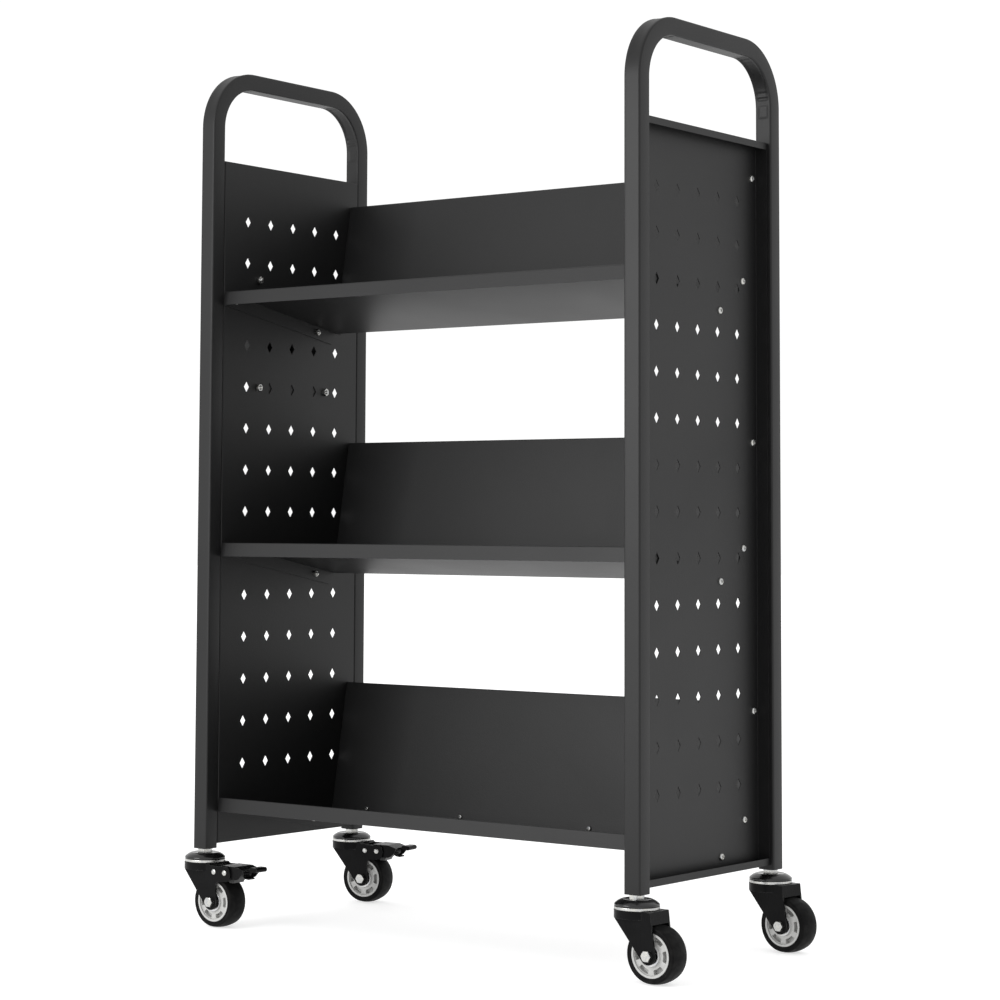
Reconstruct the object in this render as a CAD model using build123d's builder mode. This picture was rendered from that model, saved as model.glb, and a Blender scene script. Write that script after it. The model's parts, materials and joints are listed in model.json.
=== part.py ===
"""A single sided book cart: two tube end frames, two perforated end panels, three sloped shelves
and four swivel casters, the left pair with brakes.  Millimetres, +Z up, floor at Z = 0.
X runs along the shelves (left to right), Y from the open front (-Y) to the back (+Y)."""

from build123d import *
import os
from math import cos, radians, sin

os.makedirs("parts", exist_ok=True)

# ---------------------------------------------------------------- driving dimensions
frame_length = 774      # over the outer faces of the two end frames
frame_depth = 364       # over the two posts of one end frame
frame_top = 1262        # top of the handles above the floor
post_foot = 110.5       # lower end of the posts above the floor
tube = 25               # square tube, over its faces
tube_wall = 1.5
tube_corner = 2.5       # outer corner radius of the tube
bend_radius = 77.5      # handle bends, to the middle of the tube

sheet = 1.2             # all folded sheet
fold = 1.6              # outside radius of a fold
seam = 0.5              # gap between a sheet and what it sits against

panel_bottom = 117
panel_top = 1123
panel_flange = 18.8     # how far the tray's walls stand outward
panel_lip = 9.5         # turned edge of the top and bottom walls

hole_rows = 14
hole_columns = 5
row_pitch = 62
column_pitch = 51.9
top_row = 1036          # height of the top row of holes
hole_width = 12
hole_height = 17

shelf_slope = 10        # degrees, falling towards the back
shelf_rows = 6          # shelves are this many hole rows apart
top_lip_height = 927.6  # upper edge of the top shelf's lip above the floor
lip_front = -155.5      # where that edge stands, along Y
lip_drop = 20.7
base_run = 265          # along the slope, over the rear upstand
side_flange = 20
upstand = 26
back_height = 204.6     # along the lean of the back
back_flange = 15
back_return = 8

shelf_bolt = 5          # thread size
joint_screw = 4
pocket_bolt = 6

caster_reach_x = frame_length / 2 - tube / 2
caster_reach_y = frame_depth / 2 - tube / 2
wheel_radius = 37.5
tyre_width = 33
rim_radius = 28.6
rim_width = 31.6
trail = 30.5            # from the swivel axis back to the axle
fork_width = 43         # over the two cheeks
fork_sheet = 2.5
fork_top = 92
crown_radius = 30
crown_height = 10.5     # of the round part of the fork
boss_radius = 11.5      # of the cheeks round the axle
fork_rear = 34.5        # rear edge of a fork without a brake, behind the swivel axis, at its top
bridge_bottom = 76.2    # lower edge of the bridge between its cheeks
ring_radius = 29.7
ring_height = 4.1
cap_radius = 29.5
cap_top = 104.4         # seat of the nut above the floor
axle_radius = 4
sleeve_radius = 6       # tube round the axle that the bearings turn on
stem_radius = 6
running_gap = 0.06      # radial, shafts that turn in their holes
brake_pivot = (57.5, 81)
brake_anchor = (36.8, 81)
pin_radius = 2.5
shoe_gap = 2.5          # between shoe and tread while the pedal is up
shoe_width = 22

pocket_width = 190
pocket_bottom = 805
pocket_front_top = 925
pocket_back_top = 965
pocket_flange = 32      # height of the flange under the pocket
pocket_tab = 30         # the two upper tabs, each way

# ---------------------------------------------------------------- worked out from those
inner_face = frame_length / 2 - tube            # inner faces of posts and panels
panel_half = frame_depth / 2 - tube - seam      # half the panel's width along Y
shelf_half = inner_face - 0.6                   # half a shelf's length
shelf_drop = shelf_rows * row_pitch
lean = radians(shelf_slope)
caster_outer = caster_reach_x + trail + wheel_radius  # furthest that a wheel stands out along X
axle_height = wheel_radius


def save(piece, label):
    """Name a finished piece and write it."""
    piece.label = label
    export_step(piece, "parts/" + label + ".step")


def save_group(pieces, label):
    """Write equal pieces as one node of separate solids."""
    save(Compound(children=pieces), label)


# ---------------------------------------------------------------- end frames
def end_frame(side):
    """One tube bent to an upside-down U, its posts open at the foot."""
    x = side * caster_reach_x
    half = caster_reach_y
    with BuildPart() as frame:
        with BuildLine(Plane.YZ.offset(x)):
            FilletPolyline(
                (-half, post_foot),
                (-half, frame_top - tube / 2),
                (half, frame_top - tube / 2),
                (half, post_foot),
                radius=bend_radius,
            )
        with BuildSketch(Plane(origin=(x, -half, post_foot), x_dir=(1, 0, 0), z_dir=(0, 0, 1))):
            RectangleRounded(tube, tube, tube_corner)
            inside = tube - 2 * tube_wall
            RectangleRounded(inside, inside, tube_corner - tube_wall, mode=Mode.SUBTRACT)
        sweep()
    return frame.part


save(end_frame(-1), "left_end_frame")
save(end_frame(1), "right_end_frame")


# ---------------------------------------------------------------- fastener places
def on_slope(shelf, along, above):
    """Y and Z of a point given along and above the sloped base of shelf 0, 1 or 2, from the top."""
    z = top_lip_height - shelf * shelf_drop
    return (
        lip_front + along * cos(lean) + above * sin(lean),
        z - along * sin(lean) + above * cos(lean),
    )


back_face = base_run - 2 * sheet                # the back's front face, along the slope
flange_bolts = [
    (24, -10),
    (217.5, -10),
    (back_face + 7, 45),
    (back_face + 7, 194.5),
]
joint_screw_x = (-293, -115, 115, 293)
joint_screw_above = 13
pocket_bolt_y = 78
pocket_bolt_z = (788, 950)
pocket_bolt_places = [(y, z) for y in (-pocket_bolt_y, pocket_bolt_y) for z in pocket_bolt_z]


def shelf_bolt_places():
    """Y and Z of every bolt in one end panel."""
    return [on_slope(shelf, along, above) for shelf in range(3) for along, above in flange_bolts]


# ---------------------------------------------------------------- end panels
def end_panel(side):
    """A folded tray between the posts: plain face inward, walls and lips outward."""
    height = panel_top - panel_bottom
    middle = (panel_top + panel_bottom) / 2
    face = Plane(origin=(side * inner_face, 0, middle), x_dir=(0, side, 0), z_dir=(side, 0, 0))
    with BuildPart() as panel:
        with BuildSketch(face):
            Rectangle(2 * panel_half, height)
        extrude(amount=panel_flange)
        outer_edges = panel.faces().sort_by(Axis.X)[0 if side > 0 else -1].edges()
        fillet(outer_edges, radius=fold)
        open_side = panel.faces().sort_by(Axis.X)[-1 if side > 0 else 0]
        offset(amount=-sheet, openings=open_side)
        with BuildSketch(face.offset(panel_flange - sheet)):
            with Locations((0, height / 2 - panel_lip / 2), (0, -height / 2 + panel_lip / 2)):
                Rectangle(2 * panel_half - 2 * sheet, panel_lip)
        extrude(amount=sheet)
        with BuildSketch(face):
            with Locations((0, top_row - (hole_rows - 1) * row_pitch / 2 - middle)):
                with GridLocations(column_pitch, row_pitch, hole_columns, hole_rows):
                    Polygon(
                        (hole_width / 2, 0),
                        (0, hole_height / 2),
                        (-hole_width / 2, 0),
                        (0, -hole_height / 2),
                    )
            with Locations([(side * y, z - middle) for y, z in shelf_bolt_places()]):
                Circle(shelf_bolt / 2 + 0.25)
            if side < 0:
                with Locations([(y, z - middle) for y, z in pocket_bolt_places]):
                    Circle(pocket_bolt / 2 + 0.25)
        extrude(amount=2 * sheet, both=True, mode=Mode.SUBTRACT)
    return panel.part


save(end_panel(-1), "left_end_panel")
save(end_panel(1), "right_end_panel")


# ---------------------------------------------------------------- shelves
def shelf_section(shelf, x):
    """Plane across a shelf at X, with its own axes along and above the slope."""
    y, z = on_slope(shelf, 0, 0)
    return Plane(origin=(x, y, z), x_dir=(0, cos(lean), -sin(lean)), z_dir=(1, 0, 0))


def shelf_base(shelf):
    """Deck with a turned-down lip, a rear upstand and a turned-down flange at each end."""
    inset = sheet / 2
    with BuildPart() as base:
        with BuildSketch(shelf_section(shelf, -shelf_half)):
            with BuildLine():
                FilletPolyline(
                    (inset, -lip_drop),
                    (inset, -inset),
                    (base_run - inset, -inset),
                    (base_run - inset, upstand),
                    radius=fold - inset,
                )
            trace(line_width=sheet)
        extrude(amount=2 * shelf_half)
        for side in (-1, 1):
            with BuildSketch(shelf_section(shelf, side * shelf_half)):
                with BuildLine():
                    Polyline(
                        (sheet + 0.2, -sheet / 2),
                        (sheet + 0.2, -side_flange),
                        (base_run - 9, -side_flange),
                        (base_run - 3, -side_flange + 6),
                        (base_run - 3, -sheet / 2),
                        close=True,
                    )
                make_face()
                with Locations([place for place in flange_bolts if place[1] < 0]):
                    Circle(shelf_bolt / 2 + 0.25, mode=Mode.SUBTRACT)
            extrude(amount=-side * sheet)
        # the upstand stops short of the back's end flanges
        with BuildSketch(shelf_section(shelf, -shelf_half)):
            with Locations((base_run, upstand / 2 + 0.5)):
                Rectangle(8, upstand)
        extrude(amount=6, mode=Mode.SUBTRACT)
        with BuildSketch(shelf_section(shelf, shelf_half)):
            with Locations((base_run, upstand / 2 + 0.5)):
                Rectangle(8, upstand)
        extrude(amount=-6, mode=Mode.SUBTRACT)
        with BuildSketch(screw_plane(shelf)):
            with Locations([(x, 0) for x in joint_screw_x]):
                Circle(joint_screw / 2 + 0.2)
        extrude(amount=4 * sheet, both=True, mode=Mode.SUBTRACT)
    return base.part


def screw_plane(shelf):
    """Plane on the back's front face at the height of the joint screws, facing the front."""
    y, z = on_slope(shelf, back_face, joint_screw_above)
    return Plane(origin=(0, y, z), x_dir=(1, 0, 0), z_dir=(0, -cos(lean), sin(lean)))


def shelf_back(shelf):
    """Leaning sheet with a return along its top and a flange down each end, all turned backward."""
    inset = sheet / 2
    front = back_face + inset
    with BuildPart() as back:
        with BuildSketch(shelf_section(shelf, -shelf_half)):
            with BuildLine():
                FilletPolyline(
                    (front, 0.8),
                    (front, back_height - inset),
                    (front + back_flange, back_height - inset),
                    (front + back_flange, back_height - back_return),
                    radius=fold - inset,
                )
            trace(line_width=sheet)
        extrude(amount=2 * shelf_half)
        for side in (-1, 1):
            with BuildSketch(shelf_section(shelf, side * shelf_half)):
                with BuildLine():
                    Polyline(
                        (back_face + inset, 0.8),
                        (back_face + back_flange, 0.8),
                        (back_face + back_flange, back_height - 2 * sheet),
                        (back_face + inset, back_height - 2 * sheet),
                        close=True,
                    )
                make_face()
                with Locations([place for place in flange_bolts if place[1] > 0]):
                    Circle(shelf_bolt / 2 + 0.25, mode=Mode.SUBTRACT)
            extrude(amount=-side * sheet)
        with BuildSketch(screw_plane(shelf)):
            with Locations([(x, 0) for x in joint_screw_x]):
                Circle(joint_screw / 2 + 0.2)
        extrude(amount=1.5 * sheet, both=True, mode=Mode.SUBTRACT)
    return back.part


for number, level in enumerate(("top", "middle", "bottom")):
    save(shelf_base(number), level + "_shelf_base")
    save(shelf_back(number), level + "_shelf_back")


# ---------------------------------------------------------------- fasteners
def pan_screw(place, size, head_radius, head_height, length):
    """Pan head screw with a cross recess; its shank runs down from the plane's origin."""
    with BuildPart() as screw:
        with BuildSketch(place):
            Circle(head_radius)
        extrude(amount=head_height)
        fillet(screw.faces().sort_by(Axis(place.origin, place.z_dir))[-1].edges(), radius=head_height * 0.6)
        with BuildSketch(place.offset(head_height - 1.2)):
            Rectangle(head_radius * 1.1, 1)
            Rectangle(1, head_radius * 1.1)
        extrude(amount=2, mode=Mode.SUBTRACT)
        with BuildSketch(place):
            Circle(size / 2)
        extrude(amount=-length)
    return screw.part


def hex_nut(place, across_flats, height, bore):
    """Hexagon nut that sits on the plane."""
    with BuildPart() as nut:
        with BuildSketch(place):
            RegularPolygon(across_flats / 2, 6, major_radius=False)
        extrude(amount=height)
        chamfer(nut.faces().sort_by(Axis(place.origin, place.z_dir))[-1].edges(), length=0.4)
        with BuildSketch(place):
            Circle(bore / 2)
        extrude(amount=height, mode=Mode.SUBTRACT)
    return nut.part


def outward(side, x, y, z):
    """Plane at a point of an end panel, facing away from the cart's middle."""
    return Plane(origin=(side * x, y, z), x_dir=(0, side, 0), z_dir=(side, 0, 0))


def inward(side, x, y, z):
    """Plane at a point of an end panel, facing the cart's middle."""
    return Plane(origin=(side * x, y, z), x_dir=(0, -side, 0), z_dir=(-side, 0, 0))


bolt_seat = inner_face + sheet
flange_inside = shelf_half - sheet
shelf_bolt_set = []
shelf_nut_set = []
for side in (-1, 1):
    for y, z in shelf_bolt_places():
        shelf_bolt_set.append(pan_screw(outward(side, bolt_seat, y, z), shelf_bolt, 5, 3, 10))
        shelf_nut_set.append(hex_nut(inward(side, flange_inside, y, z), 8, 4, shelf_bolt))
save_group(shelf_bolt_set, "shelf_bolts")
save_group(shelf_nut_set, "shelf_nuts")

joint_screw_set = []
joint_nut_set = []
for shelf in range(3):
    for x in joint_screw_x:
        front = screw_plane(shelf)
        seat = Plane(origin=front.from_local_coords((x, 0, 0)), x_dir=(1, 0, 0), z_dir=front.z_dir)
        behind = seat.offset(-2 * sheet)
        joint_screw_set.append(pan_screw(seat, joint_screw, 3.8, 2.4, 8))
        joint_nut_set.append(
            hex_nut(Plane(origin=behind.origin, x_dir=(1, 0, 0), z_dir=-front.z_dir), 7, 3.2, joint_screw)
        )
save_group(joint_screw_set, "joint_screws")
save_group(joint_nut_set, "joint_nuts")


# ---------------------------------------------------------------- pocket on the left end
pocket_wall_x = caster_outer                    # outer face, level with the casters' reach
pocket_seat = inner_face + sheet + 0.1


def end_pocket():
    """Open-topped folded sheet pocket; the end panel is its back wall."""
    half = pocket_width / 2
    with BuildPart() as pocket:
        with BuildSketch(Plane.XZ.offset(half)):
            with BuildLine():
                Polyline(
                    (-pocket_seat, pocket_bottom),
                    (-pocket_seat, pocket_back_top),
                    (-pocket_seat - 8, pocket_back_top),
                    (-pocket_wall_x, pocket_front_top),
                    (-pocket_wall_x, pocket_bottom),
                    close=True,
                )
            make_face()
        extrude(amount=-pocket_width)
        upright = pocket.edges().filter_by(Axis.Z).group_by(Axis.X)[0]
        low = pocket.faces().sort_by(Axis.Z)[0].edges().sort_by(Axis.X)[0]
        fillet(upright + [low], radius=3)
        with BuildSketch(Plane.XZ.offset(half - sheet)):
            with BuildLine():
                Polyline(
                    (-pocket_seat + 1, pocket_bottom + sheet),
                    (-pocket_seat + 1, pocket_back_top + 50),
                    (-pocket_wall_x + sheet, pocket_back_top + 50),
                    (-pocket_wall_x + sheet, pocket_bottom + sheet),
                    close=True,
                )
            make_face()
        extrude(amount=-(pocket_width - 2 * sheet), mode=Mode.SUBTRACT)
        with BuildSketch(outward(-1, pocket_seat, 0, 0)):
            with Locations((0, pocket_bottom + sheet)):
                Rectangle(pocket_width, pocket_flange, align=(Align.CENTER, Align.MAX))
            tab_y = half - pocket_tab / 2
            with Locations((-tab_y, pocket_bolt_z[1]), (tab_y, pocket_bolt_z[1])):
                Rectangle(pocket_tab, pocket_tab)
            with Locations(pocket_bolt_places):
                Circle(pocket_bolt / 2 + 0.25, mode=Mode.SUBTRACT)
        extrude(amount=sheet)
    return pocket.part


save(end_pocket(), "end_pocket")
pocket_bolt_set = []
pocket_nut_set = []
for y in (-pocket_bolt_y, pocket_bolt_y):
    for z in pocket_bolt_z:
        seat = outward(-1, pocket_seat + sheet, y, z)
        pocket_bolt_set.append(pan_screw(seat, pocket_bolt, 5.5, 3.4, 10))
        pocket_nut_set.append(hex_nut(inward(-1, inner_face, y, z), 10, 5, pocket_bolt))
save_group(pocket_bolt_set, "pocket_bolts")
save_group(pocket_nut_set, "pocket_nuts")


# ---------------------------------------------------------------- casters, as parked
def caster_place(x_side, y_side, turn):
    """Plane on the floor under a stem; its X runs back from the swivel axis towards the wheel."""
    angle = radians(turn)
    return Plane(
        origin=(x_side * caster_reach_x, y_side * caster_reach_y, 0),
        x_dir=(cos(angle), sin(angle), 0),
        z_dir=(0, 0, 1),
    )


casters = {
    "front_left": (caster_place(-1, -1, -0.5), True),
    "rear_left": (caster_place(-1, 1, 8), True),
    "front_right": (caster_place(1, -1, -1.5), False),
    "rear_right": (caster_place(1, 1, -6), False),
}


def upright(place, across=0.0, origin=(0.0, 0.0)):
    """Plane along a caster's travel: its axes are back and up, and a negative extrude goes +across."""
    point = place.from_local_coords((origin[0], across, origin[1]))
    return Plane(origin=point, x_dir=place.x_dir, z_dir=-place.y_dir)


def fork_profile(braked):
    """Side view of the fork: slanted front edge, round axle boss, and its rear edge."""
    with BuildLine() as outline:
        front_edge = Line((-20.9, fork_top), (-20.9, fork_top - crown_height))
        slant = Line(front_edge @ 1, (trail - boss_radius * 0.77, axle_height - boss_radius * 0.64))
        boss_end = (trail + boss_radius, axle_height + 1)
        round_boss = ThreePointArc(slant @ 1, (trail + 1, axle_height - boss_radius), boss_end)
        if braked:
            web = [(40.3, 52), (40.8, 63), (44, 67), (62, 68.5), (67, 72)]
            rear = [(68.5, 79.5), (66.5, 87), (63, 89.6), (30, 89.6), (27, fork_top)]
            Polyline(round_boss @ 1, *web, *rear, front_edge @ 0)
        else:
            Polyline(
                round_boss @ 1,
                (fork_rear + 5.5, 52),
                (fork_rear + 3, 66),
                (fork_rear, fork_top),
                front_edge @ 0,
            )
    return outline


def caster_fork(place, braked):
    """Pressed fork: round crown, two cheeks, and a bridge behind them where there is no brake."""
    half = fork_width / 2
    inner = half - fork_sheet
    under_crown = fork_top - fork_sheet
    crown_foot = fork_top - crown_height
    bridge_top_inside = 85 if braked else fork_rear - fork_sheet
    bridge_foot_inside = 85 if braked else fork_rear - fork_sheet + 1.7
    with BuildPart() as fork:
        with BuildSketch(upright(place, -half)):
            with BuildLine():
                add(fork_profile(braked).line)
            make_face()
        extrude(amount=-fork_width)
        with BuildSketch(place.offset(crown_foot)):
            Circle(crown_radius)
        extrude(amount=crown_height)
        with BuildSketch(place.offset(crown_foot)):
            Circle(crown_radius - fork_sheet)
        extrude(amount=under_crown - crown_foot, mode=Mode.SUBTRACT)
        with BuildSketch(upright(place, -inner)):
            with BuildLine():
                Polyline(
                    (-60, 0),
                    (-60, under_crown),
                    (bridge_top_inside, under_crown),
                    (bridge_foot_inside, bridge_bottom),
                    (80, bridge_bottom),
                    (80, 0),
                    close=True,
                )
            make_face()
        extrude(amount=-2 * inner, mode=Mode.SUBTRACT)
        if braked:
            with BuildSketch(place.offset(under_crown - 5)):
                with Locations((60, 0)):
                    Rectangle(58, 2 * inner)
            extrude(amount=20, mode=Mode.SUBTRACT)
        with BuildSketch(place):
            Circle(stem_radius + running_gap)
        extrude(amount=120, mode=Mode.SUBTRACT)
        with BuildSketch(upright(place, -half, (trail, axle_height))):
            Circle(axle_radius)
            if braked:
                for x, z in (brake_pivot, brake_anchor):
                    with Locations((x - trail, z - axle_height)):
                        Circle(pin_radius)
        extrude(amount=-fork_width, mode=Mode.SUBTRACT)
    return fork.part


def turned(place, points):
    """Round piece about the swivel axis, from the radius and height of its section's corners."""
    side = upright(place)
    with BuildPart() as piece:
        with BuildSketch(side):
            with BuildLine():
                Polyline(*points, close=True)
            make_face()
        revolve(axis=Axis(place.origin, (0, 0, 1)))
    return piece.part


def on_axle(place, points):
    """Round piece about the axle, from the distance across and the radius of its section's corners."""
    centre = place.from_local_coords((trail, 0, axle_height))
    section = Plane(origin=centre, x_dir=place.y_dir, z_dir=place.x_dir)
    with BuildPart() as piece:
        with BuildSketch(section):
            with BuildLine():
                Polyline(*points, close=True)
            make_face()
        revolve(axis=Axis(centre, place.y_dir))
    return piece.part


def caster_stem(place):
    """King pin: threaded end up in the post, riveted head under the fork's crown."""
    head_top = fork_top - fork_sheet - 0.3
    return turned(
        place,
        [
            (0, head_top - 3.2),
            (8, head_top - 3.2),
            (9.5, head_top - 2.2),
            (9.5, head_top),
            (stem_radius, head_top),
            (stem_radius, 129),
            (stem_radius - 1, 130),
            (0, 130),
        ],
    )


def caster_cap(place):
    """Dished black cap, the upper half of the ball race."""
    bottom = fork_top + ring_height + 0.4
    return turned(
        place,
        [
            (stem_radius + 0.05, bottom),
            (cap_radius - 0.6, bottom),
            (cap_radius, bottom + 0.6),
            (cap_radius, bottom + 2.2),
            (cap_radius - 1.2, bottom + 3.8),
            (24.5, cap_top - 1.4),
            (20.5, cap_top + 0.4),
            (18.5, cap_top + 0.7),
            (15.5, cap_top),
            (stem_radius + 0.05, cap_top),
        ],
    )


def race_ring(place):
    """Zinc ring on the fork's crown, round the balls."""
    top = fork_top + ring_height
    return turned(
        place,
        [
            (25, fork_top),
            (ring_radius - 0.4, fork_top),
            (ring_radius, fork_top + 0.6),
            (ring_radius, top - 0.6),
            (ring_radius - 0.6, top),
            (25, top),
        ],
    )


def swivel_balls(place):
    """Ring of balls between the crown and the cap."""
    balls = []
    for spot in PolarLocations(20, 14):
        at = place.from_local_coords(spot.position + Vector(0, 0, fork_top + 2.25))
        with BuildPart(Plane(at)) as ball:
            Sphere(2.1)
        balls.append(ball.part)
    return balls


def wheel_rim(place):
    """Moulded wheel centre: hub, web with six curved pockets in each face, and outer ring."""
    centre = (trail, axle_height)
    half = rim_width / 2
    web = half - 2.4
    with BuildPart() as rim:
        with BuildSketch(upright(place, -half, centre)):
            Circle(rim_radius)
            Circle(11, mode=Mode.SUBTRACT)
        extrude(amount=-2 * half)
        for face, direction in ((-half, -1), (half, 1)):
            with BuildSketch(upright(place, face, centre)):
                Circle(rim_radius - 3)
                Circle(14, mode=Mode.SUBTRACT)
            extrude(amount=direction * (half - web), mode=Mode.SUBTRACT)
            with BuildSketch(upright(place, face, centre)) as pockets:
                for start in range(-19, 341, 60):
                    with BuildLine():
                        CenterArc((0, 0), 21.5, start, 38)
                    trace(line_width=6.2)
                fillet(pockets.vertices(), radius=1.4)
            extrude(amount=direction * 9, mode=Mode.SUBTRACT)
    return rim.part


def tyre(place):
    """Solid tyre with a rounded tread, bonded on the rim."""
    half = tyre_width / 2
    shoulder = half - 1.6
    centre = place.from_local_coords((trail, 0, axle_height))
    section = Plane(origin=centre, x_dir=place.y_dir, z_dir=place.x_dir)
    with BuildPart() as rubber:
        with BuildSketch(section):
            with BuildLine():
                side_in = Line((-half + 1, rim_radius), (-half, rim_radius + 0.8))
                side_up = Line(side_in @ 1, (-half, 33.6))
                near = ThreePointArc(side_up @ 1, (-half + 0.4, 34.9), (-shoulder, 35.8))
                tread = ThreePointArc(near @ 1, (0, wheel_radius), (shoulder, 35.8))
                far = ThreePointArc(tread @ 1, (half - 0.4, 34.9), (half, 33.6))
                Polyline(far @ 1, (half, rim_radius + 0.8), (half - 1, rim_radius), side_in @ 0)
            make_face()
        revolve(axis=Axis(centre, place.y_dir))
    return rubber.part


def wheel_bearings(place):
    """Two bearings in the hub's bore, which turn on the sleeve, each with a dust cover and a neck."""
    bore = sleeve_radius + running_gap
    hub_face = rim_width / 2
    neck = fork_width / 2 - fork_sheet - 0.3
    section = [
        (9, bore),
        (neck, bore),
        (neck, 8.5),
        (hub_face + 1.6, 8.5),
        (hub_face + 1.1, 14),
        (hub_face, 14),
        (hub_face, 11),
        (9, 11),
    ]
    return [on_axle(place, [(side * across, radius) for across, radius in section]) for side in (-1, 1)]


def axle_sleeve(place):
    """Steel tube clamped between the cheeks by the axle bolt."""
    half = fork_width / 2 - fork_sheet
    outside = [(half, sleeve_radius), (-half, sleeve_radius)]
    bore = axle_radius + 0.05
    return on_axle(place, [(-half, bore), (half, bore)] + outside)


def axle_bolt(place):
    """Hexagon head bolt through both cheeks."""
    half = fork_width / 2
    start = upright(place, -half, (trail, axle_height))
    with BuildPart() as bolt:
        with BuildSketch(start):
            RegularPolygon(6.5, 6, major_radius=False)
        extrude(amount=5.3)
        chamfer(bolt.faces().sort_by(Axis(start.origin, start.z_dir))[-1].edges(), length=0.7)
        with BuildSketch(start):
            Circle(axle_radius)
        extrude(amount=-fork_width - 5.3)
    return bolt.part


def axle_nut(place):
    """Lock nut on the far cheek."""
    seat = upright(place, fork_width / 2, (trail, axle_height))
    return hex_nut(Plane(origin=seat.origin, x_dir=seat.x_dir, z_dir=-seat.z_dir), 13, 5.3, 2 * axle_radius)


def brake_pedal(place):
    """Foot lever: a channel on the pivot pin, its plate sloping down to a thick rounded toe piece."""
    half = fork_width / 2 - fork_sheet - 0.5
    wall = 2
    with BuildPart() as pedal:
        with BuildSketch(upright(place, -half)):
            with BuildLine():
                Polyline(
                    (50, 77.5),
                    (50, 90.8),
                    (76, 90.8),
                    (90.5, 86.6),
                    (88, 80),
                    (83, 74.5),
                    (77, 71.8),
                    (60, 71.8),
                    close=True,
                )
            make_face()
        extrude(amount=-2 * half)
        with BuildSketch(upright(place, -half + wall)):
            with BuildLine():
                Polyline((40, 60), (40, 88.8), (75.7, 88.8), (89, 84.9), (100, 84.9), (100, 60), close=True)
            make_face()
        extrude(amount=-2 * (half - wall), mode=Mode.SUBTRACT)
        with BuildSketch(upright(place, -11)):
            with BuildLine():
                FilletPolyline((80, 88.4), (89, 85.9), (96, 87.2), (104, 87.6), radius=5)
            trace(line_width=2.4)
            with Locations((103.5, 87.6)):
                SlotOverall(15, 6.8)
        extrude(amount=-22)
        # curled tongue under the plate
        with BuildSketch(upright(place, -7)):
            with BuildLine():
                FilletPolyline((82, 87.2), (84.5, 80), (80, 75), (91, 73.4), radius=2.5)
            trace(line_width=1.8)
        extrude(amount=-14)
        with BuildSketch(upright(place, -half, brake_pivot)):
            Circle(pin_radius + running_gap)
        extrude(amount=-2 * half, mode=Mode.SUBTRACT)
    return pedal.part


def brake_shoe(place):
    """Block round the pivot in the pedal's channel; its hollow face comes forward onto the tread."""
    with BuildPart() as shoe:
        with BuildSketch(upright(place, -shoe_width / 2)):
            with BuildLine():
                Polyline((52, 88), (52, 74), (54, 66), (66, 66), (71, 74), (71, 88), close=True)
            make_face()
            with Locations((trail, axle_height)):
                Circle(wheel_radius + shoe_gap, mode=Mode.SUBTRACT)
            with Locations(brake_pivot):
                Circle(pin_radius + running_gap, mode=Mode.SUBTRACT)
        extrude(amount=-shoe_width)
    return shoe.part


def brake_pins(place):
    """Two riveted pins across the cheeks: the pedal's pivot and the spacer in front of it."""
    half = fork_width / 2
    pins = []
    for x, z in (brake_pivot, brake_anchor):
        centre = place.from_local_coords((x, 0, z))
        section = Plane(origin=centre, x_dir=place.y_dir, z_dir=place.x_dir)
        with BuildPart() as pin:
            with BuildSketch(section):
                with BuildLine():
                    Polyline(
                        (-half - 1.6, 0),
                        (-half - 1.6, 2.2),
                        (-half - 0.8, 3.8),
                        (-half, 4),
                        (-half, pin_radius),
                        (half, pin_radius),
                        (half, 4),
                        (half + 0.8, 3.8),
                        (half + 1.6, 2.2),
                        (half + 1.6, 0),
                        close=True,
                    )
                make_face()
            revolve(axis=Axis(centre, place.y_dir))
        pins.append(pin.part)
    return pins


def post_socket(place):
    """Threaded plug in the foot of a post."""
    inside = tube - 2 * tube_wall - 0.1
    with BuildPart() as plug:
        with BuildSketch(Plane(origin=place.origin).offset(post_foot)):
            RectangleRounded(inside, inside, 1)
            Circle(stem_radius, mode=Mode.SUBTRACT)
        extrude(amount=18)
    return plug.part


places = [place for place, braked in casters.values()]
save_group([post_socket(place) for place in places], "post_sockets")
save_group([caster_stem(place) for place in places], "caster_stems")
save_group([hex_nut(place.offset(cap_top), 19, 6, 2 * stem_radius) for place in places], "stem_nuts")
save_group([caster_cap(place) for place in places], "caster_caps")
save_group([ball for place in places for ball in swivel_balls(place)], "swivel_balls")

for name, (place, braked) in casters.items():
    save(caster_fork(place, braked), name + "_fork")
    save(race_ring(place), name + "_race_ring")
    save(axle_bolt(place), name + "_axle")
    save(axle_nut(place), name + "_axle_nut")
    save(axle_sleeve(place), name + "_axle_sleeve")
    save(wheel_rim(place), name + "_wheel_rim")
    save(tyre(place), name + "_tyre")
    save_group(wheel_bearings(place), name + "_wheel_bearings")
    if braked:
        save(brake_pedal(place), name + "_brake_pedal")
        save(brake_shoe(place), name + "_brake_shoe")
        save_group(brake_pins(place), name + "_brake_pins")
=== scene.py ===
"""Looks of the book cart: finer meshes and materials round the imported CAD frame.  Metres, +Z up,
floor at Z = 0, X along the shelves, Y from the open front to the back."""

import json
from math import cos, exp, pi, radians, sin, tan

import bmesh
import bpy
from mathutils import Matrix, Vector


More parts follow.
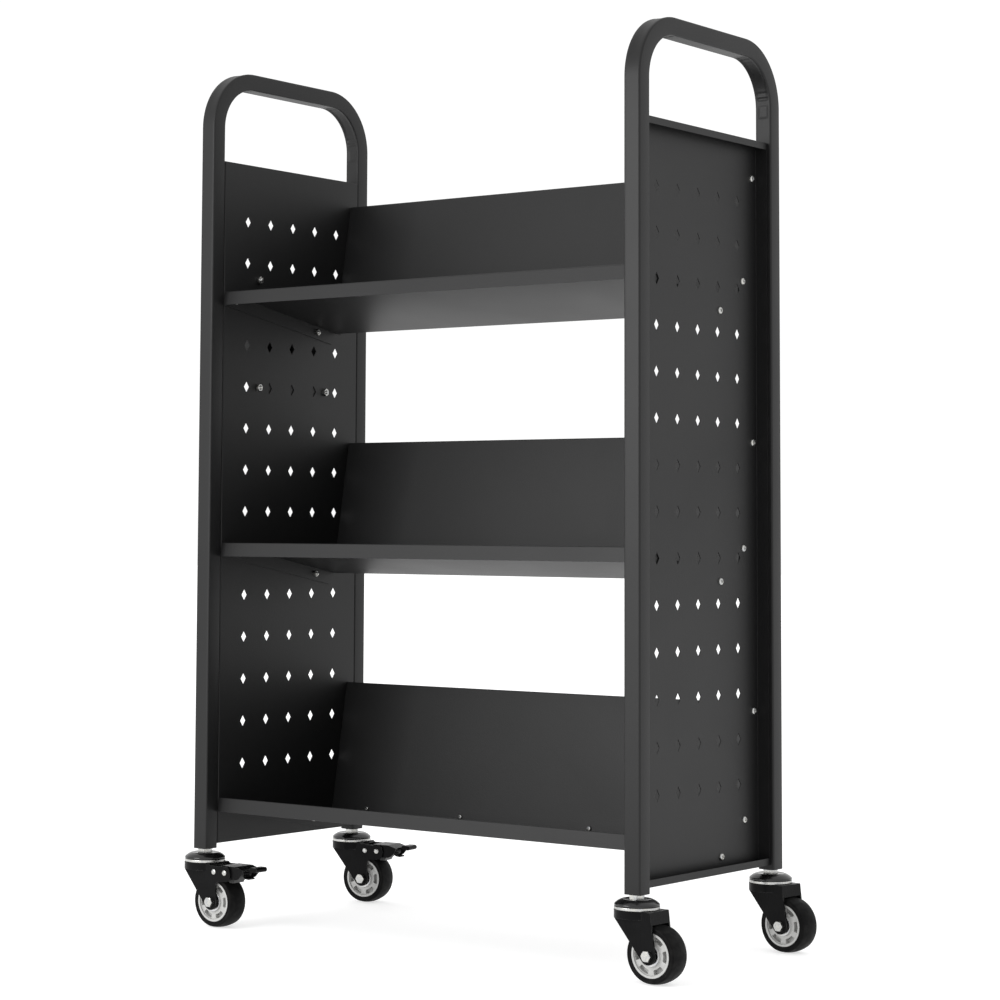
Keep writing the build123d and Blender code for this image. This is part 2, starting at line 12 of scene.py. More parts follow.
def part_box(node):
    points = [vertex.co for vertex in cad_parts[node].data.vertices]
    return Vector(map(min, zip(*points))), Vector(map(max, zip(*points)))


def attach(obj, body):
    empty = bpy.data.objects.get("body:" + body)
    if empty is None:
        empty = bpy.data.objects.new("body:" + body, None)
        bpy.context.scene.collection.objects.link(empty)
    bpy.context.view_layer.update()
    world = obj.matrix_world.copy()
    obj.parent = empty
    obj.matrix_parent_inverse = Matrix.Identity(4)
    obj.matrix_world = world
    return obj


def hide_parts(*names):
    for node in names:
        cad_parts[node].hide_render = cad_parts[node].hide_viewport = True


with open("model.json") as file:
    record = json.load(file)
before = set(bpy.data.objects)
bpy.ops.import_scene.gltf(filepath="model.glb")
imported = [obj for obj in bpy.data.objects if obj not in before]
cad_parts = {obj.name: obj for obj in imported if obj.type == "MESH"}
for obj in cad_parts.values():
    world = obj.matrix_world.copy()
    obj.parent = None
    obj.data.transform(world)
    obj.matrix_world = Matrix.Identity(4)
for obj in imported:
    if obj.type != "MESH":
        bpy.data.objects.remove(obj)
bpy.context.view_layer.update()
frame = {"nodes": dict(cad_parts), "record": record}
record = frame["record"]
body_of = {node: body for body, nodes in record["behaviour"]["bodies"].items() for node in nodes}
slot_of = {part["node"]: part["material_slot"] for part in record["subparts"]}
joint_of = {joint["name"]: joint for joint in record["behaviour"]["joints"]}
corners = ("front_left", "rear_left", "front_right", "rear_right")
MM = 0.001

scene = bpy.context.scene
scene.view_settings.view_transform = "Standard"
scene.view_settings.look = "None"


# ---------------------------------------------------------------- camera
def make_camera():
    """Long lens from the right and a little below the middle, looking slightly upward."""
    azimuth, rise, roll = radians(38.2), radians(4.4065), radians(0.3836)
    forward = Vector((-sin(azimuth) * cos(rise), cos(azimuth) * cos(rise), sin(rise)))
    level_right = forward.cross(Vector((0, 0, 1))).normalized()
    level_up = level_right.cross(forward)
    right = cos(roll) * level_right + sin(roll) * level_up
    up = cos(roll) * level_up - sin(roll) * level_right
    lens = bpy.data.cameras.new("camera")
    lens.sensor_width = 36
    lens.lens = 94.17
    lens.shift_x = 0.1025
    lens.shift_y = -0.1691
    lens.clip_end = 200
    camera = bpy.data.objects.new("camera", lens)
    camera.matrix_world = Matrix((right, up, -forward)).transposed().to_4x4()
    camera.location = (2.2359, -3.0406, 0.5719)
    scene.collection.objects.link(camera)
    scene.camera = camera


# ---------------------------------------------------------------- materials
def shader(name, colour, roughness, metallic=0.0):
    """A new material; returns its tree and its Principled node."""
    material = bpy.data.materials.new(name)
    material.use_nodes = True
    tree = material.node_tree
    principled = tree.nodes["Principled BSDF"]
    principled.inputs["Base Color"].default_value = (*colour, 1)
    principled.inputs["Roughness"].default_value = roughness
    principled.inputs["Metallic"].default_value = metallic
    return material, tree, principled


def add_node(tree, kind, **settings):
    """A node with some of its input sockets or properties set."""
    made = tree.nodes.new(kind)
    for key, value in settings.items():
        if key in made.inputs:
            made.inputs[key].default_value = value
        else:
            setattr(made, key, value)
    return made


def cloud(tree, size, detail=2.0, stretch=(1, 1, 1), distortion=0.0):
    """Noise whose blotches are about `size` metres across, in the piece's own coordinates."""
    place = add_node(tree, "ShaderNodeTexCoord")
    scaling = add_node(tree, "ShaderNodeMapping")
    scaling.inputs["Scale"].default_value = stretch
    spots = add_node(tree, "ShaderNodeTexNoise", Scale=1 / size, Detail=detail, Distortion=distortion)
    tree.links.new(place.outputs["Object"], scaling.inputs["Vector"])
    tree.links.new(scaling.outputs["Vector"], spots.inputs["Vector"])
    return spots.outputs["Fac"]


def ramp(tree, value, low, high, at=(0.3, 0.7)):
    """Map a value to a range of colours or greys."""
    made = tree.nodes.new("ShaderNodeValToRGB")
    for stop, place, colour in zip(made.color_ramp.elements, at, (low, high)):
        stop.position = place
        stop.color = (*colour, 1) if isinstance(colour, tuple) else (colour, colour, colour, 1)
    tree.links.new(value, made.inputs["Fac"])
    return made.outputs["Color"]


def blend_colours(tree, share, first, second, how="MIX"):
    """Mix two colour outputs."""
    mix = tree.nodes.new("ShaderNodeMix")
    mix.data_type = "RGBA"
    mix.blend_type = how
    tree.links.new(first, mix.inputs["A"])
    tree.links.new(second, mix.inputs["B"])
    if isinstance(share, float):
        mix.inputs["Factor"].default_value = share
    else:
        tree.links.new(share, mix.inputs["Factor"])
    return mix.outputs["Result"]


def bump(tree, principled, heights):
    """Stack of bumps, each a value, its depth in metres and its strength."""
    normal = None
    for value, depth, strength in heights:
        made = add_node(tree, "ShaderNodeBump", Distance=depth, Strength=strength)
        tree.links.new(value, made.inputs["Height"])
        if normal is not None:
            tree.links.new(normal, made.inputs["Normal"])
        normal = made.outputs["Normal"]
    tree.links.new(normal, principled.inputs["Normal"])


def edge_wear_and_highlight(tree, reach=0.0008):
    """Mask, white within reach of any edge and broken up so that it isn't an even line: edge wear, and a
    painted highlight along the rounded edges.
    """
    rounded = add_node(tree, "ShaderNodeBevel", samples=3, Radius=reach)
    surface = tree.nodes.new("ShaderNodeNewGeometry")
    likeness = add_node(tree, "ShaderNodeVectorMath", operation="DOT_PRODUCT")
    tree.links.new(rounded.outputs["Normal"], likeness.inputs[0])
    tree.links.new(surface.outputs["Normal"], likeness.inputs[1])
    edges = ramp(tree, likeness.outputs["Value"], 1.0, 0.0, (0.86, 0.985))
    patches = ramp(tree, cloud(tree, 0.012, 4), 0.0, 1.0, (0.42, 0.62))
    return blend_colours(tree, 1.0, edges, patches, "MULTIPLY")


def powder_coat(name, colour, gloss_roughness):
    """Satin black powder coat: orange peel, a faint grain, handling marks, and edges painted brighter,
    partly wear and partly a painted highlight.
    """
    material, tree, principled = shader(name, colour, gloss_roughness)
    darker, lighter = tuple(0.94 * c for c in colour), tuple(1.06 * c for c in colour)
    broad = ramp(tree, cloud(tree, 0.35, 2), darker, lighter)
    grain = ramp(tree, cloud(tree, 0.0013, 2), 0.88, 1.12)
    coat = blend_colours(tree, 1.0, broad, grain, "MULTIPLY")
    # Lighter colour near the edges: partly wear, partly a painted highlight standing in for light on the
    # rounded corners.
    rubbed_and_highlit = tree.nodes.new("ShaderNodeRGB")
    rubbed_and_highlit.outputs[0].default_value = (*[2.6 * c for c in colour], 1)
    worn_and_highlit = blend_colours(tree, edge_wear_and_highlight(tree), coat, rubbed_and_highlit.outputs[0])
    tree.links.new(worn_and_highlit, principled.inputs["Base Color"])
    hands = ramp(
        tree, cloud(tree, 0.25, 3, distortion=0.4), gloss_roughness - 0.025, gloss_roughness + 0.03
    )
    tree.links.new(hands, principled.inputs["Roughness"])
    principled.inputs["Specular IOR Level"].default_value = 0.31
    peel = cloud(tree, 0.0019, 2)
    fine = cloud(tree, 0.0006, 2)
    bump(tree, principled, [(peel, 0.00016, 0.8), (fine, 0.00004, 0.6)])
    return material


def enamel(name, colour, gloss, level):
    """Semi-gloss enamel on pressed steel, with soft draw marks, a few fine scuffs, and edges painted a light
    grey, partly wear and partly a painted highlight.
    """
    material, tree, principled = shader(name, colour, gloss)
    darker, lighter = tuple(0.8 * c for c in colour), tuple(1.25 * c for c in colour)
    broad = ramp(tree, cloud(tree, 0.02, 3), darker, lighter)
    # Lighter grey near the edges: partly wear, partly a painted highlight standing in for light on the
    # pressed edges.
    rubbed_and_highlit = tree.nodes.new("ShaderNodeRGB")
    rubbed_and_highlit.outputs[0].default_value = (0.12, 0.12, 0.12, 1)
    worn_and_highlit = blend_colours(tree, edge_wear_and_highlight(tree, 0.0005), broad, rubbed_and_highlit.outputs[0])
    tree.links.new(worn_and_highlit, principled.inputs["Base Color"])
    scuffs = ramp(tree, cloud(tree, 0.004, 5, (1, 1, 0.2)), gloss - 0.05, gloss + 0.1)
    tree.links.new(scuffs, principled.inputs["Roughness"])
    draw_marks, grit = cloud(tree, 0.005, 3), cloud(tree, 0.0008, 2)
    bump(tree, principled, [(draw_marks, 0.00012, 0.4), (grit, 0.00003, 0.4)])
    principled.inputs["Specular IOR Level"].default_value = level
    return material


def zinc(name, colour, roughness):
    """Bright zinc plate: blotchy brightness, faint passivation tint and fine scratches."""
    material, tree, principled = shader(name, colour, roughness, 1.0)
    cold = tuple(c * k for c, k in zip(colour, (0.82, 0.84, 0.88)))
    warm = tuple(min(1, c * k) for c, k in zip(colour, (1.1, 1.08, 1.02)))
    tree.links.new(ramp(tree, cloud(tree, 0.004, 4), cold, warm), principled.inputs["Base Color"])
    hazy = ramp(tree, cloud(tree, 0.0025, 5), roughness - 0.08, roughness + 0.12)
    tree.links.new(hazy, principled.inputs["Roughness"])
    bump(tree, principled, [(cloud(tree, 0.0007, 3, (1, 1, 5)), 0.00003, 0.5)])
    return material


def moulded(name, colour, roughness):
    """Injection moulded plastic: fine spark-eroded grain and slight flow marks."""
    material, tree, principled = shader(name, colour, roughness)
    flow = ramp(tree, cloud(tree, 0.012, 3, distortion=1.0), tuple(0.9 * c for c in colour), colour)
    tree.links.new(flow, principled.inputs["Base Color"])
    handled = ramp(tree, cloud(tree, 0.005, 3), roughness - 0.06, roughness + 0.08)
    tree.links.new(handled, principled.inputs["Roughness"])
    bump(tree, principled, [(cloud(tree, 0.0006, 2), 0.00003, 0.5)])
    return material


def rubber(name, colour):
    """Solid black tyre: matt, dusty on the tread, with faint mould texture."""
    material, tree, principled = shader(name, colour, 0.5)
    clean, dusty = tuple(0.8 * c for c in colour), (0.013, 0.0128, 0.0122)
    dust = ramp(tree, cloud(tree, 0.01, 5, distortion=0.4), clean, dusty, (0.4, 0.9))
    tree.links.new(dust, principled.inputs["Base Color"])
    tree.links.new(ramp(tree, cloud(tree, 0.006, 4), 0.42, 0.6), principled.inputs["Roughness"])
    principled.inputs["Specular IOR Level"].default_value = 0.05
    texture, waves = cloud(tree, 0.0012, 3), cloud(tree, 0.012, 2)
    bump(tree, principled, [(texture, 0.00006, 0.6), (waves, 0.0003, 0.3)])
    return material


def make_materials():
    """One material for each of the record's slots, and a glossier enamel for the caps."""
    coat_black, enamel_black = (0.0055, 0.0055, 0.0057), (0.0035, 0.0035, 0.0037)
    cap_black = (0.004, 0.004, 0.0043)
    return {
        "black_powder_coat": powder_coat("black_powder_coat", coat_black, 0.47),
        "black_enamel": enamel("black_enamel", enamel_black, 0.27, 0.07),
        "cap_enamel": enamel("cap_enamel", cap_black, 0.14, 0.5),
        "zinc_plate": zinc("zinc_plate", (0.5, 0.5, 0.49), 0.27),
        "black_screw": zinc("black_screw", (0.2, 0.2, 0.2), 0.35),
        "bearing_steel": zinc("bearing_steel", (0.6, 0.6, 0.61), 0.2),
        "grey_plastic": moulded("grey_plastic", (0.43, 0.43, 0.42), 0.42),
        "black_rubber": rubber("black_rubber", (0.0055, 0.0055, 0.0057)),
        "shoe_plastic": moulded("shoe_plastic", (0.015, 0.015, 0.015), 0.42),
    }


# ---------------------------------------------------------------- pieces
def as_object(name, bm, smooth_angle=35):
    """Turn a bmesh into an object whose edges flatter than the angle are smooth."""
    mesh = bpy.data.meshes.new(name)
    bmesh.ops.recalc_face_normals(bm, faces=bm.faces)
    bm.to_mesh(mesh)
    bm.free()
    mesh.polygons.foreach_set("use_smooth", [True] * len(mesh.polygons))
    mesh.set_sharp_from_angle(angle=radians(smooth_angle))
    piece = bpy.data.objects.new(name, mesh)
    scene.collection.objects.link(piece)
    return piece


def stand_for(piece, node, finish=None):
    """Give a piece a node's material and body, and let it stand for that node."""
    piece.data.materials.append(materials[finish or slot_of[node]])
    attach(piece, body_of[node])
    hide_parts(node)


def welded(node):
    """A node's mesh with its split edges joined."""
    bm = bmesh.new()
    bm.from_mesh(frame["nodes"][node].data)
    bmesh.ops.remove_doubles(bm, verts=bm.verts, dist=0.002 * MM)
    return bm


def whole_faced(node):
    """A node's mesh with its flat faces whole, or in triangles for the pocket, whose sloping rims
    aren't quite flat."""
    bm = welded(node)
    bmesh.ops.dissolve_limit(bm, angle_limit=radians(0.6), verts=bm.verts, edges=bm.edges)
    if node == "end_pocket":
        bmesh.ops.triangulate(bm, faces=[face for face in bm.faces if len(face.verts) > 4])
    return bm


def round_edges(piece, width, segments):
    """Round every sharp edge."""
    edges = piece.modifiers.new("edges", "BEVEL")
    edges.width = width
    edges.segments = segments
    edges.limit_method = "ANGLE"
    edges.angle_limit = radians(28)
    edges.loop_slide = False
    normals = piece.modifiers.new("normals", "WEIGHTED_NORMAL")
    normals.keep_sharp = True


def refined(node, width, segments):
    """A copy of a node with its edges rounded."""
    piece = as_object(node + "_finished", whole_faced(node))
    round_edges(piece, width, segments)
    stand_for(piece, node)


# ---------------------------------------------------------------- detailed pieces
def smooth_step(value):
    """0 to 1 with soft ends."""
    value = max(0.0, min(1.0, value))
    return value * value * (3 - 2 * value)


def islands(node):
    """Lowest and highest corner of each separate solid of a node."""
    bm = welded(node)
    seen = set()
    found = []
    for start in bm.verts:
        if start in seen:
            continue
        seen.add(start)
        group = [start]
        for vert in group:
            for edge in vert.link_edges:
                other = edge.other_vert(vert)
                if other not in seen:
                    seen.add(other)
                    group.append(other)
        low = Vector([min(v.co[k] for v in group) for k in range(3)])
        high = Vector([max(v.co[k] for v in group) for k in range(3)])
        found.append((low, high))
    bm.free()
    return found


def placed(bm, rings):
    """A corner at each point of each ring."""
    return [[bm.verts.new(point) for point in ring] for ring in rings]


def join_rings(bm, rings):
    """Faces between each ring of corners and the next."""
    count = len(rings[0])
    for one, two in zip(rings, rings[1:]):
        for k in range(count):
            bm.faces.new((one[k], one[(k + 1) % count], two[(k + 1) % count], two[k]))


def skin(bm, rings):
    """Join rings of points into a tube, each end closed by a fan."""
    made = placed(bm, rings)
    join_rings(bm, made)
    count = len(rings[0])
    for ring in (made[0], made[-1]):
        middle = bm.verts.new(sum((v.co for v in ring), Vector()) / count)
        for k in range(count):
            bm.faces.new((ring[k], ring[(k + 1) % count], middle))


def ring_body(bm, rings):
    """Join rings of points into a closed loop of rings, as round a bore."""
    made = placed(bm, rings)
    join_rings(bm, made + made[:1])


def axes(origin, direction):
    """Placement whose Z is the direction."""
    return Matrix.Translation(origin) @ Vector(direction).to_track_quat("Z", "Y").to_matrix().to_4x4()


def eased(points, size, steps=4):
    """Round the corners of a profile, each by at most the size."""
    out = [points[0]]
    for before, corner, after in zip(points, points[1:], points[2:]):
        before, corner, after = Vector(before), Vector(corner), Vector(after)
        back, on = before - corner, after - corner
        cut = min(size, 0.45 * back.length, 0.45 * on.length)
        start, end = corner + back.normalized() * cut, corner + on.normalized() * cut
        for k in range(steps + 1):
            t = k / steps
            out.append(tuple((1 - t) ** 2 * start + 2 * t * (1 - t) * corner + t * t * end))
    out.append(points[-1])
    return out


def revolved(bm, place, profile, segments=72):
    """Solid of revolution from radius and height pairs, about the placement's Z."""
    rings = []
    for radius, height in profile:
        turns = [2 * pi * k / segments for k in range(segments)]
        rings.append([place @ Vector((radius * cos(turn), radius * sin(turn), height)) for turn in turns])
    ring_body(bm, rings)


def thread(bm, place, radius, low, high, pitch):
    """Threaded shank with a pointed lead at its free end, from height low up to high."""
    segments = 24
    steps = int((high - low) / pitch * 6)
    rings = []
    for k in range(steps + 1):
        height = low + (high - low) * k / steps
        lead = min(1.0, 0.62 + 0.38 * (height - low) / pitch)
        ring = []
        for j in range(segments):
            turn = (height / pitch - j / segments) % 1.0
            depth = 0.6 * pitch * (1 - abs(2 * turn - 1))
            across = (radius - depth) * lead
            angle = 2 * pi * j / segments
            ring.append(place @ Vector((across * cos(angle), across * sin(angle), height)))
        rings.append(ring)
    skin(bm, rings)


def pan_head(bm, place, radius, height):
    """Domed head with a cross recess, its underside at the placement's origin."""
    segments = 48
    dome = [(1.0, 0.0), (1.0, 0.18), (0.985, 0.42), (0.94, 0.62), (0.86, 0.78), (0.74, 0.9), (0.62, 0.96)]
    crown = [(0.54, 0.98), (0.47, 0.99)] + [(share, 1.0) for share in (0.4, 0.33, 0.26, 0.19, 0.12, 0.06)]
    rings = []
    for share, up in dome + crown:
        ring = []
        for k in range(segments):
            angle = 2 * pi * k / segments
            x, y = share * cos(angle), share * sin(angle)
            slot = min(abs(x), abs(y))
            reach = max(abs(x), abs(y))
            sink = smooth_step((0.17 - slot) / 0.07) * smooth_step((0.56 - reach) / 0.2)
            ring.append(place @ Vector((radius * x, radius * y, height * (up - 0.62 * sink))))
        rings.append(ring)
    skin(bm, rings)


def hexagon(bm, place, flats, height, bore, both=True):
    """Hexagon nut or head, its seat at the placement's origin, chamfered at the top or at both ends."""
    half = flats / 2
    corner = half / cos(pi / 6)
    land = half * 0.96
    slope = tan(radians(30))
    lead = 0.5 * MM
    segments = 60
    steps = 4

    def ring(radius, up, hexed):
        points = []
        for k in range(segments):
            angle = 2 * pi * k / segments
            off = (angle % (pi / 3)) - pi / 6
            across = min(half / cos(off), radius) if hexed else radius
            points.append(place @ Vector((across * cos(angle), across * sin(angle), up)))
        return points

    rows = []
    for k in range(steps + 1):
        radius = land + (corner - land) * k / steps
        rows.append(ring(radius, height - max(0.0, radius - land) * slope, True))
    rows.append(ring(corner, height - (corner - half) * slope - 0.3 * MM, True))
    for k in range(steps + 1):
        radius = corner - (corner - land) * k / steps
        rows.append(ring(radius, max(0.0, radius - land) * slope if both else 0.0, True))
    if bore:
        mouths = [ring(bore + lead, 0, False), ring(bore, lead, False), ring(bore, height - lead, False)]
        ring_body(bm, [ring(bore + lead, height, False), *rows, *mouths])
    else:
        skin(bm, [ring(half * 0.7, height, False), *rows])


def make_end_bolts(node, nut_node, size, head_radius, head_height):
    """Pan head bolts through an end panel, threaded, with their nuts inside."""
    bolts, nuts = bmesh.new(), bmesh.new()
    for low, high in islands(node):
        side = 1 if low.x + high.x > 0 else -1
        y, z = (low.y + high.y) / 2, (low.z + high.z) / 2
        outer = high.x if side > 0 else low.x
        inner = low.x if side > 0 else high.x
        seat = outer - side * head_height
        place = axes((seat, y, z), (side, 0, 0)) @ Matrix.Rotation(3.1 * y + 17 * z, 4, "Z")
        pan_head(bolts, place, head_radius, head_height)
        thread(bolts, place, size / 2, -abs(seat - inner), 0.05 * MM, 0.16 * size)
    for low, high in islands(nut_node):
        side = 1 if low.x + high.x > 0 else -1
        y, z = (low.y + high.y) / 2, (low.z + high.z) / 2
        seat = high.x if side > 0 else low.x
        place = axes((seat, y, z), (-side, 0, 0)) @ Matrix.Rotation(23 * y + 5 * z, 4, "Z")
        flats = min(high.y - low.y, high.z - low.z)
        hexagon(nuts, place, flats, high.x - low.x, size / 2)
    stand_for(as_object(node + "_finished", bolts, 32), node)
    stand_for(as_object(nut_node + "_finished", nuts, 25), nut_node)


def make_joint_screws():
    """Black screws through each back and the shelf's upstand, with nuts behind."""
    lean = radians(10)
    toward = Vector((0, -cos(lean), sin(lean)))
    screws, nuts = bmesh.new(), bmesh.new()
    head_height, head_radius, length, nut_height = 2.4 * MM, 3.8 * MM, 8 * MM, 3.2 * MM
    for low, high in islands("joint_screws"):
        middle = (low + high) / 2
        seat = middle + toward * (length - head_height) / 2
        place = axes(seat, toward) @ Matrix.Rotation(9 * middle.x, 4, "Z")
        pan_head(screws, place, head_radius, head_height)
        thread(screws, place, 2 * MM, -length, 0.05 * MM, 0.7 * MM)
    for low, high in islands("joint_nuts"):
        middle = (low + high) / 2
        place = axes(middle + toward * nut_height / 2, -toward) @ Matrix.Rotation(7 * middle.x, 4, "Z")
        hexagon(nuts, place, 7 * MM, nut_height, 2 * MM)
    stand_for(as_object("joint_screws_finished", screws, 32), "joint_screws")
    stand_for(as_object("joint_nuts_finished", nuts, 25), "joint_nuts")


def make_end_frame(node):
    """Square tube bent to an upside-down U, its inner wall pressed in and rippled at the bends."""
    low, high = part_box(node)
    x = (low[0] + high[0]) / 2
    tube = high[0] - low[0]
    half = (high[1] - low[1]) / 2 - tube / 2
    foot, top = low[2], high[2] - tube / 2
    bend = 77.5 * MM
    press_depth, back_depth = 1.5 * MM, 0.5 * MM
    ripple_height, ripple_pitch = 0.75 * MM, 9.5 * MM
    pad_depth, pad_above, pad_below = 0.9 * MM, 7 * MM, 14 * MM
    mouth_depth, mouth_draw = 1 * MM, 0.12 * MM
    wall, plug_depth = 1.5 * MM, 17 * MM
    straight = top - bend - foot
    arc = bend * pi / 2
    across = 2 * (half - bend)
    total = 2 * straight + 2 * arc + across

    def on_path(s):
        """Point, inward direction and place in the bend at a distance from the front foot."""
        if s > total / 2:
            point, inward, share = on_path(total - s)
            return Vector((point.x, -point.y, point.z)), Vector((0, -inward.y, inward.z)), share
        if s <= straight:
            return Vector((x, -half, foot + s)), Vector((0, 1, 0)), (s - straight) / arc
        if s <= straight + arc:
            angle = (s - straight) / bend
            centre = Vector((x, -half + bend, top - bend))
            inward = Vector((0, cos(angle), -sin(angle)))
            return centre - inward * bend, inward, (s - straight) / arc
        run = s - straight - arc
        return Vector((x, -half + bend + run, top)), Vector((0, 0, -1)), 1 + run / arc

    def outline(size, corner):
        """Rounded square, dense on the side that faces into the bend."""
        flat = size / 2 - corner
        points = []
        for quarter in range(4):
            angle0 = quarter * pi / 2
            cx = flat * (1 if quarter in (0, 3) else -1)
            cy = flat * (1 if quarter in (0, 1) else -1)
            for k in range(6):
                angle = angle0 + k / 5 * pi / 2
                points.append((cx + corner * cos(angle), cy + corner * sin(angle)))
            if quarter == 0:
                points += [(flat * (1 - 2 * k / 10), size / 2) for k in range(1, 10)]
            elif quarter == 2:
                points += [(-flat * (1 - 2 * k / 6), -size / 2) for k in range(1, 6)]
        return points

    stations = [0.0, 0.6 * MM, 1.2 * MM]
    step = straight / 12
    stations += [step * k for k in range(1, 12)]
    fine = 1.6 * MM
    bend_zone = arc + 38 * MM
    count = int(bend_zone / fine)
    stations += [straight - 20 * MM + bend_zone * k / count for k in range(count + 1)]
    stations = sorted(set(round(s, 6) for s in stations if s < total / 2))
    stations = stations + [total - s for s in reversed(stations)]
    outer = outline(tube, 2.5 * MM)
    rings = []
    for s in stations:
        point, inward, share = on_path(s)
        window = smooth_step((share - 0.08) / 0.2) * smooth_step((1.04 - share) / 0.2)
        ends = exp(-((share - 0.16) / 0.075) ** 2) + 0.6 * exp(-((share - 0.9) / 0.13) ** 2)
        wave = sin(2 * pi * (share * arc) / ripple_pitch)
        below = -share * arc
        pad = smooth_step((below + pad_above) / (3 * MM)) * smooth_step((pad_below - below) / (3 * MM))
        shrink = 1 - mouth_draw * max(0.0, 1 - min(s, total - s) / mouth_depth) / (tube / 2)
        ring = []
        for u, v in outer:
            lift = 0.0
            if v > tube / 2 - 0.2 * MM:
                hollow = smooth_step((10 * MM - abs(u)) / (3.5 * MM))
                lift = -hollow * (press_depth * window + ripple_height * ends * (1 - wave))
                lift -= pad_depth * pad * smooth_step((8.5 * MM - abs(u)) / (2.5 * MM))
            elif v < -tube / 2 + 0.2 * MM:
                hollow = smooth_step((10 * MM - abs(u)) / (8 * MM))
                lift = hollow * back_depth * window
            ring.append(point + Vector((u * shrink, 0, 0)) + inward * (v * shrink + lift))
        rings.append(ring)
    bm = bmesh.new()
    made = placed(bm, rings)
    join_rings(bm, made)
    for ring, y in ((made[0], -half), (made[-1], half)):
        middle = Vector((x, y, foot))
        mouth = [bm.verts.new(middle + (v.co - middle) * (tube - 2 * wall) / tube) for v in ring]
        deep = [bm.verts.new(v.co + Vector((0, 0, plug_depth))) for v in mouth]
        join_rings(bm, [ring, mouth, deep])
        bm.faces.new(deep)
    stand_for(as_object(node + "_finished", bm, 40), node)


def make_caps():
    """Dished caps over the casters, pressed from sheet with a rolled edge."""
    bm = bmesh.new()
    for low, high in islands("caster_caps"):
        middle = (low + high) / 2
        radius = (high.x - low.x) / 2
        top = high.z - low.z
        profile = [
            (6.1 * MM, 0),
            (radius - 0.5 * MM, 0),
            (radius, 0.5 * MM),
            (radius, 2.0 * MM),
            (radius - 0.5 * MM, 3.0 * MM),
            (radius - 1.8 * MM, 4.1 * MM),
            (radius - 4.5 * MM, top - 2.4 * MM),
            (radius - 8.4 * MM, top - 0.5 * MM),
            (radius - 10.6 * MM, top - 0.02 * MM),
            (radius - 12.4 * MM, top - 0.4 * MM),
            (radius - 14.5 * MM, top - 0.75 * MM),
            (6.1 * MM, top - 0.75 * MM),
        ]
        revolved(bm, Matrix.Translation((middle.x, middle.y, low.z)), eased(profile, 0.9 * MM), 96)
    stand_for(as_object("caster_caps_finished", bm, 50), "caster_caps", "cap_enamel")


def axle_frame(corner):
    """Placement at the middle of a wheel whose Z is the axle."""
    joint = joint_of[corner + "_roll"]
    return axes(joint["pos_m"], joint["axis"])


def make_tyre(corner):
    """Tyre with rounded shoulders, a step and a fine rib on each side, and a faint mould seam."""
    node = corner + "_tyre"
    half, crown, seat = 16.5 * MM, 37.5 * MM, 28.6 * MM
    side = [
        (seat, -half + 1.1 * MM),
        (seat + 0.5 * MM, -half + 0.3 * MM),
        (seat + 1.3 * MM, -half + 0.02 * MM),
        (30.8 * MM, -half + 0.02 * MM),
        (31.2 * MM, -half + 0.5 * MM),
        (32.6 * MM, -half + 0.5 * MM),
        (33.0 * MM, -half + 0.05 * MM),
        (33.7 * MM, -half + 0.05 * MM),
        (34.9 * MM, -half + 0.45 * MM),
        (35.7 * MM, -half + 1.5 * MM),
    ]
    tread = []
    for k in range(1, 12):
        y = (half - 1.5 * MM) * (k / 12 - 1)
        tread.append((35.7 * MM + (crown - 35.7 * MM) * (1 - (y / (half - 1.5 * MM)) ** 2) - 0.02 * MM, y))
    seam = [(crown - 0.02 * MM, -0.5 * MM), (crown, -0.25 * MM)]
    left = eased(side, 0.5 * MM, 3) + tread + seam
    profile = left + [(r, -y) for r, y in reversed(left)]
    bm = bmesh.new()
    revolved(bm, axle_frame(corner), profile, 128)
    stand_for(as_object(node + "_finished", bm, 60), node)


def make_axle_ends(corner):
    """Hexagon head bolt through the cheeks, and its lock nut."""
    place = axle_frame(corner)
    half = 21.5 * MM
    near = place @ Matrix.Translation((0, 0, -half)) @ Matrix.Rotation(pi, 4, "X")
    far = place @ Matrix.Translation((0, 0, half))
    head, nut = bmesh.new(), bmesh.new()
    hexagon(head, near, 13 * MM, 5.3 * MM, 0, both=False)
    thread(head, near, 4 * MM, -2 * half - 5.2 * MM, 0.05 * MM, 1.25 * MM)
    hexagon(nut, far, 13 * MM, 5.3 * MM, 4 * MM, both=False)
    stand_for(as_object(corner + "_axle_finished", head, 25), corner + "_axle")
    stand_for(as_object(corner + "_axle_nut_finished", nut, 25), corner + "_axle_nut")


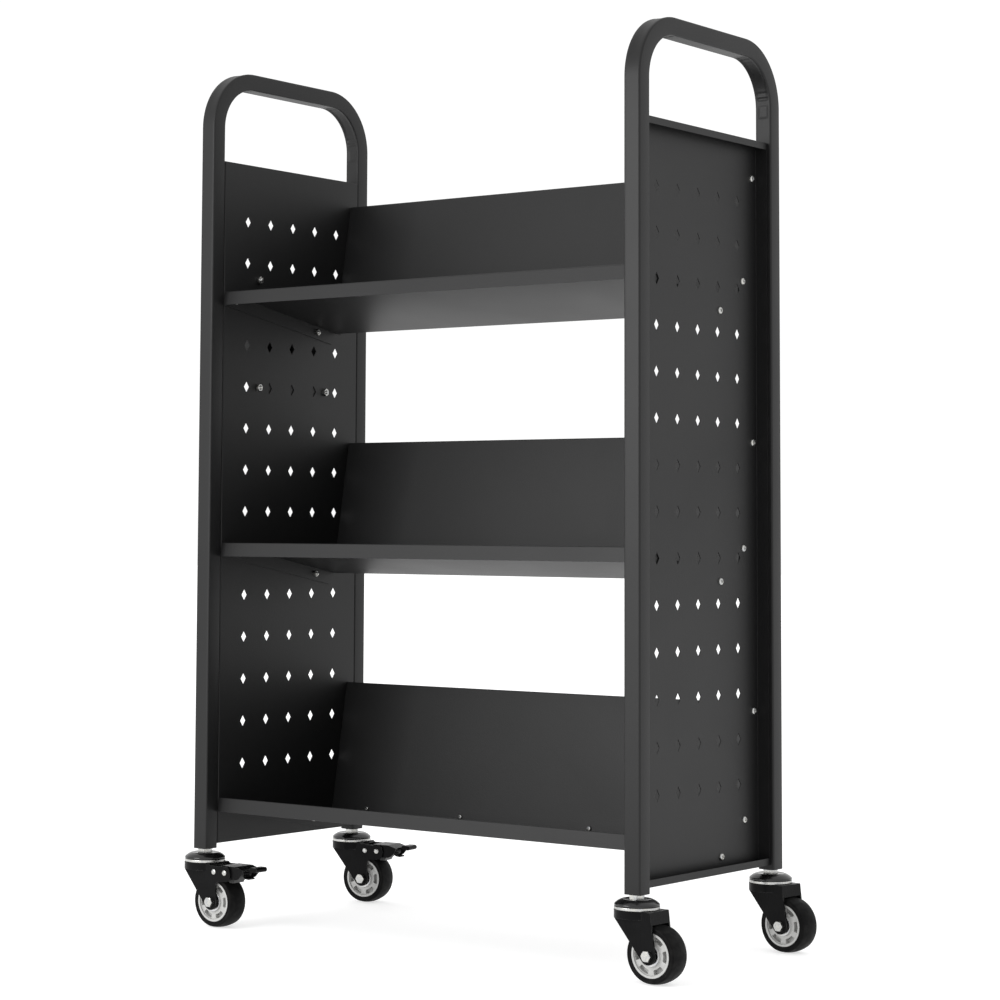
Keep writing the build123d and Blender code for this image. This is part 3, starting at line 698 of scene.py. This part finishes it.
def make_stage():
    """Pale floor."""
    reach = 30
    floor_mesh = bpy.data.meshes.new("floor")
    square = [(-reach, -reach, 0), (reach, -reach, 0), (reach, reach, 0), (-reach, reach, 0)]
    floor_mesh.from_pydata(square, [], [(0, 1, 2, 3)])
    floor = bpy.data.objects.new("floor", floor_mesh)
    scene.collection.objects.link(floor)
    material, tree, principled = shader("floor_pale", (0.6, 0.6, 0.6), 0.8)
    mottle = ramp(tree, cloud(tree, 0.4, 3), (0.59, 0.59, 0.59), (0.61, 0.61, 0.61))
    tree.links.new(mottle, principled.inputs["Base Color"])
    principled.inputs["Specular IOR Level"].default_value = 0.1
    principled.inputs["Emission Color"].default_value = (1, 1, 1, 1)
    principled.inputs["Emission Strength"].default_value = 0.62
    floor_mesh.materials.append(material)


def area_light(name, place, target, size, power):
    """Soft rectangular light."""
    lamp = bpy.data.lights.new(name, "AREA")
    lamp.shape = "RECTANGLE"
    lamp.size, lamp.size_y = size
    lamp.energy = power
    light = bpy.data.objects.new(name, lamp)
    light.location = place
    light.rotation_euler = (Vector(target) - Vector(place)).to_track_quat("-Z", "Y").to_euler()
    scene.collection.objects.link(light)


def make_lights():
    """White room light and one soft box at the front left."""
    world = bpy.data.worlds.new("room")
    world.use_nodes = True
    world.node_tree.nodes["Background"].inputs["Color"].default_value = (1, 1, 1, 1)
    world.node_tree.nodes["Background"].inputs["Strength"].default_value = 1.05
    scene.world = world
    area_light("key", (-0.68, -2.2, 1.15), (0, 0, 0.75), (1.1, 1.6), 34)


materials = make_materials()
make_camera()
make_stage()
make_lights()

for node in ("left_end_frame", "right_end_frame"):
    make_end_frame(node)
make_end_bolts("shelf_bolts", "shelf_nuts", 5 * MM, 5 * MM, 3 * MM)
make_end_bolts("pocket_bolts", "pocket_nuts", 6 * MM, 5.5 * MM, 3.4 * MM)
make_joint_screws()
make_caps()
for corner in corners:
    make_tyre(corner)
    make_axle_ends(corner)

sheet_edge = 0.35 * MM
edge_widths = {"_fork": 0.7 * MM, "_brake_pedal": 0.6 * MM, "_brake_shoe": 0.8 * MM, "_wheel_rim": 0.35 * MM}
replaced = [node for node in frame["nodes"] if node + "_finished" in bpy.data.objects]
for node in frame["nodes"]:
    if node not in replaced:
        width = next((size for end, size in edge_widths.items() if node.endswith(end)), sheet_edge)
        refined(node, width, 3 if width > sheet_edge else 2)
